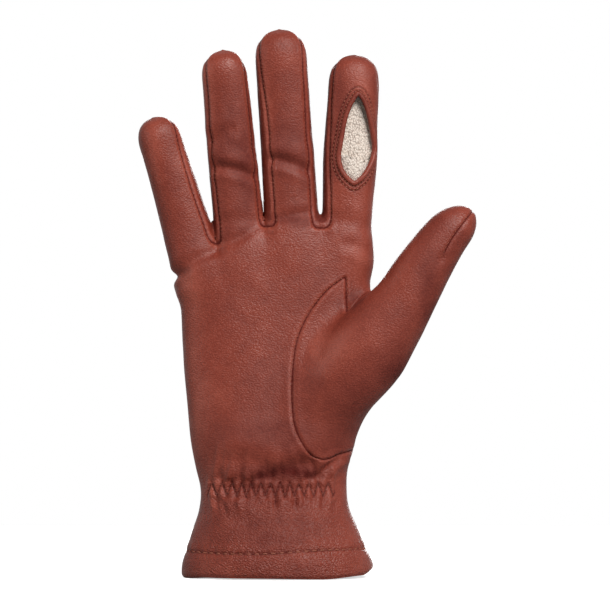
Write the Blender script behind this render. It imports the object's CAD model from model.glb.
"""Right-hand touchscreen glove in brown nappa leather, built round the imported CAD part.

Lengths are millimetres inside the script and metres in the scene. The glove stands on its hem with the palm
facing -Y and the thumb towards +X. Its leather is one continuous surface, worked out from a field that is
negative inside the hand. Scalar functions cut that surface along the seams, relief moves it in and out, and
each cut-out region becomes a shell of leather with its own thickness.
"""
import math

import bpy
import numpy as np
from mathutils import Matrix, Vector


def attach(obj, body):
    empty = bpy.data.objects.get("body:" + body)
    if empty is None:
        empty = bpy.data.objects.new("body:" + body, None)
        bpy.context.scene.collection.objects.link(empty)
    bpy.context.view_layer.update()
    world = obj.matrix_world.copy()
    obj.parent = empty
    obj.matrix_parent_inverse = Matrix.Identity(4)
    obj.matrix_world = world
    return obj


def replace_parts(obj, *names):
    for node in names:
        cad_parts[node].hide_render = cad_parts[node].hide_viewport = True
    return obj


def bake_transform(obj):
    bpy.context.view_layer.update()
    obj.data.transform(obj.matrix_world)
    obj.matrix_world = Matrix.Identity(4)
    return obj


MM = 0.001

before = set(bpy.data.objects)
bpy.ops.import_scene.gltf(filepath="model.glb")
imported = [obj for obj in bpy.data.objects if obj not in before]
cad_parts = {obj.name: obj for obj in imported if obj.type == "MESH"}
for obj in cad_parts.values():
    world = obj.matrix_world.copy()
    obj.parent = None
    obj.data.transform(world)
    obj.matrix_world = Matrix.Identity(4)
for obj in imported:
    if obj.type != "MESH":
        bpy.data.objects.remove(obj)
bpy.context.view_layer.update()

# ---------------------------------------------------------------- sizes, in millimetres

LEATHER = 1.0           # thickness of the leather
LINING_GAP = 0.35       # air between the leather and the lining
LINING = 1.2            # thickness of the knitted lining

# Palm and cuff: height, centre x, half width, half depth, squareness.
PALM = np.array([
    [-12, 0.6, 43.5, 29.6, 2.1],
    [0, 0.5, 42.6, 29.0, 2.1],
    [6, 0.2, 42.0, 28.5, 2.1],
    [18, -0.7, 37.6, 25.5, 2.15],
    [30, -1.2, 33.2, 21.8, 2.2],
    [39, -1.5, 32.0, 19.4, 2.2],
    [48, -2.2, 33.2, 19.7, 2.3],
    [60, -2.0, 35.8, 20.3, 2.4],
    [75, -1.4, 38.1, 19.1, 2.5],
    [95, -1.2, 40.1, 16.9, 2.6],
    [115, -1.0, 41.1, 15.3, 2.7],
    [128, -1.2, 42.3, 14.5, 2.8],
    [146, -3.2, 44.6, 13.2, 2.8],
    [170, -4.0, 45.6, 11.8, 2.8]])

# Upper end of the palm between and beside the fingers: x, height.
ROOTS = np.array([[-60, 128], [-46, 137], [-27, 143], [-16, 147.5], [-7, 153.5], [6, 155], [19, 156], [34, 154],
                  [46, 148], [60, 140]])

# Fingers: base x, base height, length, lean in degrees, squareness, height of the middle joint above the base.
FINGER_NAMES = ("pinky", "ring", "middle", "index")
FINGERS = np.array([
    [-37.6, 146.5, 57.5, -16.9, 2.4, 19.5],
    [-16.6, 151.0, 80.3, -5.2, 2.4, 29.5],
    [6.6, 157.5, 82.9, -3.9, 2.4, 26.0],
    [30.8, 157.5, 71.8, 2.8, 2.4, 18.5]])
# Their sections: share of the length, then for each finger half width and half depth.
FINGER_SECTIONS = np.array([
    [-0.6, 12.5, 11.5, 11.5, 11.5, 12.5, 11.5, 12.5, 11.5],
    [0.0, 11.3, 10.6, 11.1, 11.2, 12.0, 11.6, 11.2, 11.4],
    [0.35, 10.3, 10.2, 10.6, 10.8, 11.5, 11.3, 11.8, 10.9],
    [0.75, 9.4, 9.6, 10.0, 10.1, 11.3, 10.7, 11.2, 10.4],
    [1.0, 9.2, 9.2, 9.6, 9.6, 11.2, 10.4, 10.4, 10.0]])
FINGER_BOW = (3.0, 6.5, 6.0, 3.0)       # how far each fingertip leans towards the palm
TIP = 1.25              # length of a rounded tip, in half widths
TIP_SQUARE = 2.5        # 2 rounds a fingertip like an ellipse, and more squares it
# A fourchette's seams lie at these shares of the half width: share of the length, then for each gap between two
# fingers the left finger's and the right finger's.
SEAM_SHARES = np.array([
    [-0.2, 0.72, 0.74, 0.84, 0.62, 0.74, 0.66],
    [0.1, 0.72, 0.75, 0.85, 0.62, 0.74, 0.68],
    [0.5, 0.72, 0.83, 0.90, 0.67, 0.80, 0.80],
    [0.85, 0.84, 0.83, 0.92, 0.84, 0.85, 0.86],
    [1.0, 0.86, 0.85, 0.92, 0.86, 0.86, 0.87]])

# Thumb, in a frame that leans by THUMB_LEAN at THUMB_AT: distance along it, offset across, y, half width, half depth.
THUMB_AT = (38.0, 98.0)
THUMB_LEAN = 33.0
THUMB = np.array([
    [-60, -6.0, -2.0, 9.0, 9.0],
    [-45, -3.9, -4.0, 13.2, 13.0],
    [-23, -1.9, -9.0, 16.3, 15.8],
    [0, 0.0, -13.0, 18.3, 16.6],
    [18.7, 1.3, -15.5, 15.5, 14.6],
    [29.4, 2.0, -17.0, 13.4, 13.0],
    [42.5, 1.4, -18.0, 12.2, 12.0],
    [60.6, 1.4, -19.0, 10.6, 10.6],
    [77.5, 3.6, -19.5, 8.8, 8.8]])
THUMB_END = 78.5
THUMB_TIP = 13.5
THUMB_SQUARE = 2.2      # of the thumb's section and tip


def hermite(rows, s, column):
    """Smooth interpolation of one column of rows, whose first column rises."""
    x = rows[:, 0]
    y = rows[:, column]
    slope = np.gradient(y, x)
    slope[1:-1] = (y[2:] - y[:-2]) / (x[2:] - x[:-2])
    i = np.clip(np.searchsorted(x, s, side="right") - 1, 0, len(x) - 2)
    h = x[i + 1] - x[i]
    t = np.clip((s - x[i]) / h, 0, 1)
    return (y[i] * (1 + 2 * t) * (1 - t) ** 2 + y[i + 1] * t * t * (3 - 2 * t)
            + h * (slope[i] * t * (1 - t) ** 2 - slope[i + 1] * t * t * (1 - t)))


def smooth_min(a, b, k):
    h = np.maximum(k - np.abs(a - b), 0) / k
    return np.minimum(a, b) - h * h * k / 4


def smooth_max(a, b, k):
    return -smooth_min(-a, -b, k)


def ramp(x, a, b):
    t = np.clip((x - a) / (b - a), 0, 1)
    return t * t * (3 - 2 * t)


def rounded(u, v, a, b, n, w=None):
    """Distance from a rounded section of half sizes a and b, and from its tip, where w holds the share of the tip
    passed, the tip's length and its squareness."""
    k = (np.abs(u / a) ** n + np.abs(v / b) ** n)
    r2 = u * u + v * v
    if w is not None:
        share, length, power = w
        passed = np.maximum(share, 0)
        k = (k ** (power / n) + passed ** power) ** (1 / power)
        r2 = r2 + (passed * length) ** 2
    else:
        k = k ** (1 / n)
    k = np.maximum(k, 1e-4)
    return np.sqrt(r2) * (1 - 1 / k) - np.where(k < 0.02, 5, 0)


def palm_field(p):
    z = p[:, 2]
    middle, half_width, half_depth, power = (hermite(PALM, z, k) for k in (1, 2, 3, 4))
    d = rounded(p[:, 0] - middle, p[:, 1], half_width, half_depth, power)
    top = (z - hermite(ROOTS, p[:, 0], 1)) * 0.95
    return smooth_max(d, top, 12)


def finger_frame(p, i):
    """Distance along finger i from its base, across it, and towards the back from its axis."""
    x, z, length, lean = FINGERS[i, :4]
    c, s = math.cos(math.radians(lean)), math.sin(math.radians(lean))
    along = (p[:, 0] - x) * s + (p[:, 2] - z) * c
    across = (p[:, 0] - x) * c - (p[:, 2] - z) * s
    return along, across, p[:, 1] + finger_bow(along, i)


def finger_bow(s, i):
    """How far finger i's axis lies towards the palm side at a distance along it."""
    share = np.maximum(s, 0) / FINGERS[i, 2]
    return FINGER_BOW[i] * share * share / (0.35 + 0.65 * share)


def finger_size(s, i):
    share = s / FINGERS[i, 2]
    return hermite(FINGER_SECTIONS, share, 1 + 2 * i), hermite(FINGER_SECTIONS, share, 2 + 2 * i)


def tip_share(s, i):
    """How much of finger i's rounded tip has been passed, from 0 to 1, and the tip's length."""
    tip = TIP * FINGER_SECTIONS[-1, 1 + 2 * i]
    return (s - FINGERS[i, 2] + tip) / tip, tip


def finger_field(p, i):
    s, u, v = finger_frame(p, i)
    a, b = finger_size(s, i)
    d = rounded(u, v, a, b, FINGERS[i, 4], (*tip_share(s, i), TIP_SQUARE))
    return smooth_max(d, -s - 22, 8)


def thumb_frame(p):
    c, s = math.cos(math.radians(THUMB_LEAN)), math.sin(math.radians(THUMB_LEAN))
    dx, dz = p[:, 0] - THUMB_AT[0], p[:, 2] - THUMB_AT[1]
    along = dx * s + dz * c
    return along, dx * c - dz * s - hermite(THUMB, along, 1), p[:, 1] - hermite(THUMB, along, 2)


def thumb_field(p):
    s, u, v = thumb_frame(p)
    tip = ((s - THUMB_END + THUMB_TIP) / THUMB_TIP, THUMB_TIP, THUMB_SQUARE)
    d = rounded(u, v, hermite(THUMB, s, 3), hermite(THUMB, s, 4), THUMB_SQUARE, tip)
    return smooth_max(d, -s - 52, 14)


CROTCH = (154, 161, 161)    # height from which neighbouring fingers stay apart


def fingers_field(p):
    each = [finger_field(p, i) for i in range(4)]
    d = each[0]
    for i in range(1, 4):
        d = smooth_min(d, each[i], 1.2)
    for i in range(3):
        apart = 0.6 - 0.5 * np.abs(each[i] - each[i + 1]) - 6 * (1 - ramp(p[:, 2], CROTCH[i], CROTCH[i] + 5))
        d = smooth_max(d, apart, 0.6)
    return d


def field(p):
    """Negative inside the gloved hand, and near the surface about the distance to it."""
    d = smooth_min(palm_field(p), fingers_field(p), 6)
    return smooth_min(d, thumb_field(p), 9)


def gradient(f, p, h=0.05):
    g = np.empty_like(p)
    for k in range(3):
        q = p.copy()
        q[:, k] += h
        up = f(q)
        q[:, k] -= 2 * h
        g[:, k] = (up - f(q)) / (2 * h)
    return g


def project(p, level=0.0, steps=3, f=field):
    for _ in range(steps):
        g = gradient(f, p)
        d = (f(p) - level) / np.maximum((g * g).sum(1), 0.05)
        p = p - g * np.clip(d, -2, 2)[:, None]
    return p


# ---------------------------------------------------------------- seams, folds and openings

# Between two neighbouring fingers, lowest point of the seam that runs round the crotch.
WEB_BOTTOMS = (146.3, 154.2, 153.6)

# The thumb's seam on the palm side: height, x.
THUMB_SEAM = np.array([
    [40, 30], [51.8, 20], [54, 15.2], [59.8, 11], [67, 7.9], [77, 6.6], [87, 6.6], [97, 7.5], [104, 8.8],
    [112, 11.9], [120, 16.8], [127, 23], [132, 30], [140, 42]])
THUMB_SEAM_RIGHT = 30.4     # x of its short upright stretch below the thumb's crotch
# Dart at the thumb's tip: distance along the thumb, offset across.
THUMB_DART = np.array([[40, 7.0], [54.5, 4.2], [63, 2.9], [72, 2.2], [90, 1.5]])
THUMB_DART_START = 54.5

# The slit in the index finger: height above the finger's base, left edge and right edge, measured across.
SLIT = np.array([
    [16.5, 2.2, 2.2], [19, -0.8, 5.0], [22.5, -3.0, 7.2], [27, -4.0, 9.0], [31.5, -3.7, 9.8], [36, -3.1, 9.0],
    [42, -2.4, 7.6], [48, -0.9, 5.7], [52, 1.0, 3.8], [54, 2.2, 2.2]])
LINING_EDGE = (28.3, 0.3)   # height of the lining's torn edge in the slit at the finger's axis's left, and its fall

# Decorative rows of stitches on the back of the hand: lower end and upper end, x and height.
BACK_POINTS = (((-11, 76), (-19, 118)), ((-2, 74), (-2, 121)), ((7, 76), (15, 124)))

ELASTIC_Z = 39.2
ZIGZAG = (-30.5, 25.5, 4.25, 3.0)    # from x, to x, pitch, half height
HEM = 11.6                  # height of the hem's row of stitches
KNUCKLE = (0.0, 139.2, -14.0)        # a point of the knuckle line, and its lean
POSE_CUTS = (4.0, 8.0, 8.0, 4.0)     # where each finger's piece starts, above its base

# Soft folds on the palm side: from x, z to x, z, half width, depth.
FOLDS = np.array([
    [-2.8, 183.8, 14.2, 177.8, 2.0, 1.1],
    [-4.0, 189.0, 15.0, 186.5, 3.2, -0.6],
    [-26.4, 180.0, -9.8, 176.0, 1.9, 1.15],
    [-28.0, 186.0, -12.0, 182.5, 3.0, -0.6],
    [-29.0, 191.0, -18.5, 197.0, 2.6, 0.65],
    [-3.0, 155.6, 14.0, 160.2, 1.9, 0.65],
    [-24.5, 156.0, -10.0, 156.6, 2.4, 0.4],
    [-45.0, 134.6, -25.0, 143.8, 2.1, 0.8],
    [-20.0, 145.4, -8.0, 154.0, 1.9, 0.4],
    [-29.0, 143.0, -13.0, 150.0, 1.8, 0.3],
    [20.0, 158.0, 41.0, 153.0, 3.0, 0.35],
    [30.0, 147.0, 42.5, 141.0, 2.4, 0.35],
    [-48.5, 124.0, -38.0, 130.5, 1.8, 0.5],
    [-3.0, 44.4, 15.4, 50.8, 3.2, 1.1],
    [17.0, 43.6, 28.5, 53.4, 1.5, 0.8],
    [22.5, 43.0, 31.0, 52.0, 1.8, -0.5],
    [-24.0, 53.0, -4.0, 50.5, 3.0, 0.45],
    [-20.0, 27.0, -12.0, 24.0, 3.0, 0.5]])


def seam_offset(s, i, column):
    """How far from finger i's middle line a fourchette's seam runs. Round the tip it draws in, and ends."""
    w = np.clip(tip_share(s, i)[0], 0, 1)
    share = hermite(SEAM_SHARES, s / FINGERS[i, 2], column) + 0.22 * w * w
    return share * finger_size(s, i)[0] * (1 - w ** TIP_SQUARE) ** (1 / TIP_SQUARE)


def web(p, i):
    """Positive on the fourchettes between fingers i and i + 1."""
    s, u, _ = finger_frame(p, i)
    left = u - seam_offset(s, i, 1 + 2 * i)
    s, u, _ = finger_frame(p, i + 1)
    right = -u - seam_offset(s, i + 1, 2 + 2 * i)
    return smooth_min(smooth_min(left, right, 2), (p[:, 2] - WEB_BOTTOMS[i]) * 0.8, 3)


def web_middle(p, i):
    """Zero halfway between fingers i and i + 1, and positive beyond."""
    s, u, _ = finger_frame(p, i)
    t, w, _ = finger_frame(p, i + 1)
    return (u - finger_size(s, i)[0]) - (-w - finger_size(t, i + 1)[0])


def thumb_panel(p):
    """Positive on the thumb's piece of leather."""
    x, y, z = p.T
    on_thumb = palm_field(p) - thumb_field(p)
    left = (x - hermite(THUMB_SEAM, z, 1)) * 0.8
    bottom = z - 51.7 - 0.3 * np.maximum(x - 19, 0)
    right = smooth_max(THUMB_SEAM_RIGHT - x, on_thumb - 5.0 * np.exp(-((x - 31) / 5) ** 2), 1.5)
    right += 30 * (1 - ramp(z, 70, 100))
    front = smooth_min(smooth_min(left, bottom, 2), right, 1)
    w = ramp(y - 10 * (1 - ramp(z, 75, 100)), -12, -4)
    return front * (1 - w) + on_thumb * w


def back_point(p, k):
    """Distance across decorative row k on the back of the hand, and how much of it is there."""
    (x0, z0), (x1, z1) = BACK_POINTS[k]
    ex, ez = x1 - x0, z1 - z0
    length = math.hypot(ex, ez)
    along = ((p[:, 0] - x0) * ex + (p[:, 2] - z0) * ez) / length
    return ((p[:, 0] - x0) * ez - (p[:, 2] - z0) * ex) / length, ramp(along, -2, 2) * (1 - ramp(along, length - 2, length + 2))


def thumb_dart(p):
    """Zero along the thumb's tip seam."""
    s, u, v = thumb_frame(p)
    return u - np.where(v < 0, hermite(THUMB_DART, s, 1), 2.5)


def side_seam(p):
    """Zero along the closing seam, which runs up the back of the little finger's side."""
    s, u, _ = finger_frame(p, 0)
    palm = p[:, 0] - hermite(PALM, p[:, 2], 1) + 0.9 * hermite(PALM, p[:, 2], 2)
    finger = u + 0.75 * finger_size(s, 0)[0]
    w = ramp(s, -22, 4)
    return palm * (1 - w) + finger * w


def tip_seam(p, i):
    """Distance to the seam over finger i's tip, which joins its fourchettes just behind the outline."""
    s, u, v = finger_frame(p, i)
    w = tip_share(s, i)[0]
    left, right = (i > 0), (i < 3)
    low = np.where(u < 0, 0.9 if left else 0.2, 0.9 if right else 0.2)
    return np.abs(v - 0.6) + 6 * np.maximum(low - w, 0)


# Round the index finger, distances are measured along its skin from the middle of its front.
def arc_table():
    a, b = finger_size(np.array([30.0]), 3)
    n = FINGERS[3, 4]
    t = np.radians(np.linspace(-170, 170, 681))
    x = a * np.sign(np.sin(t)) * np.abs(np.sin(t)) ** (2 / n)
    y = -b * np.sign(np.cos(t)) * np.abs(np.cos(t)) ** (2 / n)
    arc = np.concatenate([[0], np.cumsum(np.hypot(np.diff(x), np.diff(y)))])
    return t, arc - arc[340], x


ARC_T, ARC, ARC_X = arc_table()


def index_arc(p):
    """Height above the index finger's base and distance round its skin."""
    s, u, v = finger_frame(p, 3)
    a, b = finger_size(s, 3)
    n = FINGERS[3, 4]
    t = np.arctan2(np.sign(u) * np.abs(u / a) ** (n / 2), -np.sign(v) * np.abs(v / b) ** (n / 2))
    return s, np.interp(t, ARC_T, ARC)


def index_point(s, arc):
    """The point on the smooth skin of the index finger at a height and a distance round it."""
    t = np.interp(arc, ARC, ARC_T)
    a, b = finger_size(s, 3)
    n = FINGERS[3, 4]
    u = a * np.sign(np.sin(t)) * np.abs(np.sin(t)) ** (2 / n)
    v = -b * np.sign(np.cos(t)) * np.abs(np.cos(t)) ** (2 / n)
    x, z, length, lean = FINGERS[3, :4]
    c, k = math.cos(math.radians(lean)), math.sin(math.radians(lean))
    y = v - finger_bow(s, 3)
    return project(np.stack([x + s * k + u * c, y, z + s * c - u * k], axis=1))


def slit_outline(grow=0.0, points=160):
    """The slit's outline on the unrolled skin of the index finger, grown by a distance."""
    s = np.linspace(SLIT[0, 0], SLIT[-1, 0], 80)
    front = slice(190, 491)
    across = lambda column: np.interp(hermite(SLIT, s, column), ARC_X[front], ARC[front])
    loop = np.concatenate([np.stack([s, across(1)], 1), np.stack([s, across(2)], 1)[-2:0:-1]])
    step = np.roll(loop, -1, axis=0) - np.roll(loop, 1, axis=0)
    step /= np.linalg.norm(step, axis=1)[:, None]
    loop = loop - grow * np.stack([-step[:, 1], step[:, 0]], axis=1)
    return resample(np.concatenate([loop, loop[:1]]), points + 1)[:-1]


def resample(points, count):
    """Evenly spaced points along a line."""
    d = np.concatenate([[0], np.cumsum(np.linalg.norm(np.diff(points, axis=0), axis=1))])
    t = np.linspace(0, d[-1], count)
    return np.stack([np.interp(t, d, points[:, k]) for k in range(points.shape[1])], axis=1)


def in_outline(q, outline):
    """Signed distance to a closed outline, positive inside."""
    a, b = outline, np.roll(outline, -1, axis=0)
    e = b - a
    w = q[:, None] - a
    t = np.clip((w * e).sum(2) / (e * e).sum(1), 0, 1)
    d = np.linalg.norm(w - t[..., None] * e, axis=2).min(axis=1)
    crosses = ((a[:, 1] > q[:, None, 1]) != (b[:, 1] > q[:, None, 1])) & (
        q[:, None, 0] < e[:, 0] * (q[:, None, 1] - a[:, 1]) / np.where(e[:, 1] == 0, 1, e[:, 1]) + a[:, 0])
    return np.where(crosses.sum(axis=1) % 2 == 1, d, -d)


def near_slit(p):
    s, u, v = finger_frame(p, 3)
    return (s > 6) & (s < 64) & (np.abs(u) < 16) & (v < 9) & (v > -16)


def slit(p, grow=0.0):
    """Positive inside the slit, grown by a distance."""
    d = np.full(len(p), -30.0)
    rows = np.flatnonzero(near_slit(p))
    if len(rows):
        d[rows] = in_outline(np.stack(index_arc(p[rows]), axis=1), SLIT_OUTLINE)
    return d + grow


SLIT_OUTLINE = slit_outline()
SLIT_ROWS = (2.35, 4.0)     # how far outside the slit its two rows of stitches run


# ---------------------------------------------------------------- relief

def noise(p, size, seed=0):
    """Smooth random values from -1 to 1, with features of the given size."""
    q = p / size
    i = np.floor(q).astype(np.int64)
    f = q - i
    f = f * f * (3 - 2 * f)
    total = 0
    for dx in (0, 1):
        for dy in (0, 1):
            for dz in (0, 1):
                h = (i[:, 0] + dx) * 73856093 ^ (i[:, 1] + dy) * 19349663
                h = h ^ (i[:, 2] + dz) * 83492791 ^ seed * 2654435
                h = (h ^ (h >> 13)) * 1274126177
                value = ((h ^ (h >> 16)) & 0xFFFF) / 32767.5 - 1
                weight = (f[:, 0] if dx else 1 - f[:, 0]) * (f[:, 1] if dy else 1 - f[:, 1])
                weight = weight * (f[:, 2] if dz else 1 - f[:, 2])
                total = total + value * weight
    return total


def groove(d, depth, width=0.55, lip=0.25):
    """A seam's section: a narrow valley between two soft lips."""
    d = np.abs(d)
    return -depth * np.exp(-(d / width) ** 2) + lip * np.exp(-((d - 1.7) / 1.1) ** 2)


def seam_section(d, phase):
    """A fourchette's seam: the finger's leather, on the negative side, ends in a soft ridge above the fourchette."""
    side = np.where(d < 0, 1.0, 0.55)
    stitch = 0.1 * np.cos(2 * np.pi * phase)
    return -(0.55 + stitch) * np.exp(-(d / 0.42) ** 2) + 0.32 * side * np.exp(-((np.abs(d) - 1.35) / 0.8) ** 2)


def fold_relief(p):
    x, z = p[:, 0], p[:, 2]
    total = np.zeros(len(p))
    for x0, z0, x1, z1, width, depth in FOLDS:
        ex, ez = x1 - x0, z1 - z0
        t = ((x - x0) * ex + (z - z0) * ez) / (ex * ex + ez * ez)
        bow = 0.9 * np.sin(np.pi * np.clip(t, 0, 1))
        d = ((x - x0) * ez - (z - z0) * ex) / math.hypot(ex, ez) + bow
        ends = np.exp(-np.maximum(np.abs(t - 0.5) - 0.42, 0) ** 2 * 60)
        lips = 0.35 * np.exp(-((np.abs(d) - 2.1 * width) / width) ** 2)
        total -= depth * ends * (np.exp(-(d / width) ** 2) - lips)
    return total


def zigzag_distance(x, z):
    """Distance to the zigzag, and its phase."""
    x0, _, pitch, rise = ZIGZAG
    phase = (x - x0) / pitch
    line = ELASTIC_Z + rise * (1 - 4 * np.abs((phase % 1) - 0.5))
    return (z - line) * pitch / math.hypot(pitch, 4 * rise), phase


def on_zigzag(p):
    """Which points lie where the elastic's zigzag runs."""
    across = (p[:, 0] > ZIGZAG[0]) & (p[:, 0] < ZIGZAG[1])
    return (np.abs(p[:, 2] - ELASTIC_Z) < ZIGZAG[3] + 0.5) & (p[:, 1] < 0) & across


def gathers(p):
    """Uneven folds that fan out above and below the elastic."""
    x, y, z = p.T
    away = np.maximum(np.abs(z - ELASTIC_Z) - ZIGZAG[3], 0)
    fan = x * (1 + 0.012 * away) + 1.2 * noise(p, 8, 6)
    stretched = np.stack([fan, np.zeros(len(p)), z * 0.24], axis=1)
    uneven = 0.7 * noise(stretched, 2.7, 7) + 0.4 * noise(stretched, 1.7, 8)
    far = np.where(z > ELASTIC_Z, 10.0, 5.0)
    there = ramp(x, ZIGZAG[0] - 1, ZIGZAG[0] + 5) * (1 - ramp(x, ZIGZAG[1] - 3, ZIGZAG[1] + 4)) * ramp(-y, 0, 5)
    return there * uneven * ramp(away, 0, 2.5) * np.exp(-(away / far) ** 2)


def elastic_relief(p):
    """Gathers that the elastic pulls into the palm side of the wrist."""
    x, y, z = p.T
    d, phase = zigzag_distance(x, z)
    there = ramp(x, ZIGZAG[0] - 1, ZIGZAG[0] + 2) * (1 - ramp(x, ZIGZAG[1] - 2, ZIGZAG[1] + 1)) * ramp(-y, 0, 5)
    away = np.abs(z - ELASTIC_Z) - ZIGZAG[3]
    band = 1 - ramp(away, -1, 1)
    strong = 0.75 + 0.25 * noise(p, 9, 4)
    puffs = band * (1.25 * (1 - np.exp(-(d / 1.0) ** 2)) - 0.55 * np.exp(-(d / 0.4) ** 2))
    side = np.where(z > ELASTIC_Z, 0.0, 0.5)
    pleat = np.cos(2 * np.pi * (phase + side))
    reach = np.where(z > ELASTIC_Z, 3.2, 3.0)
    pleats = (1 - band) * 0.8 * pleat * np.exp(-np.maximum(away, 0) / reach)
    return there * strong * (puffs + pleats) + 1.9 * gathers(p) + 0.35 * there * np.exp(-(away / 12) ** 2)


def hem_relief(p):
    x, y, z = p.T
    d = z - hem_height(p)
    pucker = 0.5 + 0.5 * np.cos(2 * np.pi * np.arctan2(y, x) * 9.2)
    valley = -(0.35 + 0.35 * pucker) * np.exp(-(d / 0.8) ** 2)
    swell = 0.3 * np.exp(-((d + 4) / 3.2) ** 2) + 0.25 * np.exp(-((d - 2.2) / 1.5) ** 2) * (1 - pucker)
    edge = -1.1 * np.clip(1 - (z - hem_edge(p)) / 1.6, 0, 1) ** 2
    return valley + swell + edge


def hem_height(p):
    return HEM + 1.6 * ramp(p[:, 0], -10, 38) + 0.25 * np.sin(p[:, 0] / 9)


def hem_edge(p):
    """Height of the cuff's lower edge, which lifts a little on the thumb's side."""
    x = p[:, 0]
    front = 0.7 * ramp(x, -42, -30) * ramp(-x, -44, 10) * ramp(-p[:, 1], -12, 4)
    return front + 1.5 * ramp(x, 20, 40) + 2.4 * ramp(x, 38.5, 44) + 0.02


def dart_relief(p):
    s, _, v = thumb_frame(p)
    d = thumb_dart(p)
    start = np.where(v < 0, ramp(s, THUMB_DART_START - 1, THUMB_DART_START + 4), ramp(s, 2, 12))
    pucker = -0.7 * np.exp(-((s - THUMB_DART_START + 1) / 2.2) ** 2 - (d / 1.6) ** 2) * (v < 0)
    return (groove(d, 0.5, 0.5, 0.2) * start + pucker) * (thumb_field(p) < 1.5)


def back_relief(p):
    """Knuckles, soft wrinkles and the three raised rows on the back of the hand."""
    x, y, z = p.T
    total = np.zeros(len(p))
    for k in range(3):
        d, there = back_point(p, k)
        total += there * (0.7 * np.exp(-(d / 0.8) ** 2) - 0.3 * np.exp(-((np.abs(d) - 1.5) / 0.6) ** 2))
    for i in range(4):
        s, u, _ = finger_frame(p, i)
        mound = 0.9 * np.exp(-((s + 9) / 8) ** 2 - (u / 6.5) ** 2)
        total += mound - 0.5 * np.exp(-((s - 3) / 3.5) ** 2 - (u / 8) ** 2)
        joint = FINGERS[i, 5] + 2 + 1.2 * noise(p, 9, 50 + i)
        for at, depth in ((-3.2, 0.25), (0.0, 0.4), (3.4, 0.28)):
            total -= depth * np.exp(-((s - joint - at - 0.05 * u * u * np.sign(at)) / 0.9) ** 2 - (u / 7) ** 2)
    lines = z + 0.12 * x + 2.0 * noise(p, 16, 60)
    for at, depth, width in ((37, 0.8, 2.2), (43.5, 0.7, 2.0), (50, 0.35, 2.4)):
        total -= depth * np.exp(-((lines - at) / width) ** 2) * (0.75 + 0.5 * noise(p, 12, 61))
    return total * ramp(y, 2, 8)


def relief(p):
    """How far the leather stands out from the smooth hand."""
    x, y, z = p.T
    front = ramp(-y, -2, 6)
    total = 0.28 * noise(p, 26, 1) + 0.14 * noise(p, 11, 2) + 0.05 * noise(p, 4.5, 9)
    total += fold_relief(p) * front
    total += 0.55 * noise(p * [1, 1, 0.8], 10, 12) * (1 - ramp(z, 28, 40)) * ramp(z, 2, 9)
    heel = 1.6 * np.exp(-((z - 59) / 9) ** 2) - 1.3 * np.exp(-((z - 41) / 5) ** 2)
    total += front * heel * ramp(30 - np.abs(x), 0, 14)
    total -= 2.6 * np.exp(-((z - 132.6 - 0.35 * (x + 44)) / 2.3) ** 2) * ramp(-x, 36, 43) * ramp(-y, -12, -4)
    for i in range(3):
        w = web(p, i)
        near = ramp(z, WEB_BOTTOMS[i] - 5, WEB_BOTTOMS[i] - 2)
        total += seam_section(w, z / 2.2) * near
        middle = web_middle(p, i)
        total += 0.55 * np.exp(-(middle / 1.6) ** 2 - ((z - WEB_BOTTOMS[i] - 2.6) / 1.6) ** 2)
        total += 0.4 * noise(p, 1.9, 30 + i) * np.exp(-(w / 2.5) ** 2 - ((z - WEB_BOTTOMS[i]) / 3.5) ** 2)
    for i in range(4):
        d = tip_seam(p, i)
        total += groove(d, 0.4, 0.45, 0.15) * (finger_field(p, i) < 1.5)
    panel = thumb_panel(p)
    along = np.arctan2(z - 92, (x - 30) * 2) * 30
    total += groove(panel, 0.62 + 0.1 * np.cos(2 * np.pi * along / 2.4), 0.5, 0.22) * (x < 75)
    total += groove(side_seam(p), 0.5, 0.5, 0.2) * ramp(y, -1, 2) * (x < -20) * ramp(z, 4, 8)
    total += dart_relief(p) + back_relief(p)
    total += elastic_relief(p) * (z < 75)
    total += hem_relief(p) * (z < 22)
    lip = slit(p)
    total += 0.7 * np.exp(-((lip + 1.0) / 3.0) ** 2) - 0.4 * np.exp(-((lip + SLIT_ROWS[0]) / 0.5) ** 2)
    total += 0.2 * np.exp(-((lip + 3.2) / 0.5) ** 2) - 0.35 * np.exp(-((lip + SLIT_ROWS[1]) / 0.5) ** 2)
    return total


# ---------------------------------------------------------------- the surface as triangles

def axis_steps(low, high, step, fine=None):
    """Grid lines from low to high, closer together inside the stretch fine = (from, to, step)."""
    if fine is None:
        return np.arange(low, high + step, step)
    return np.concatenate([np.arange(low, fine[0], step), np.arange(fine[0], fine[1], fine[2]),
                           np.arange(fine[1], high + step, step)])


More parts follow.
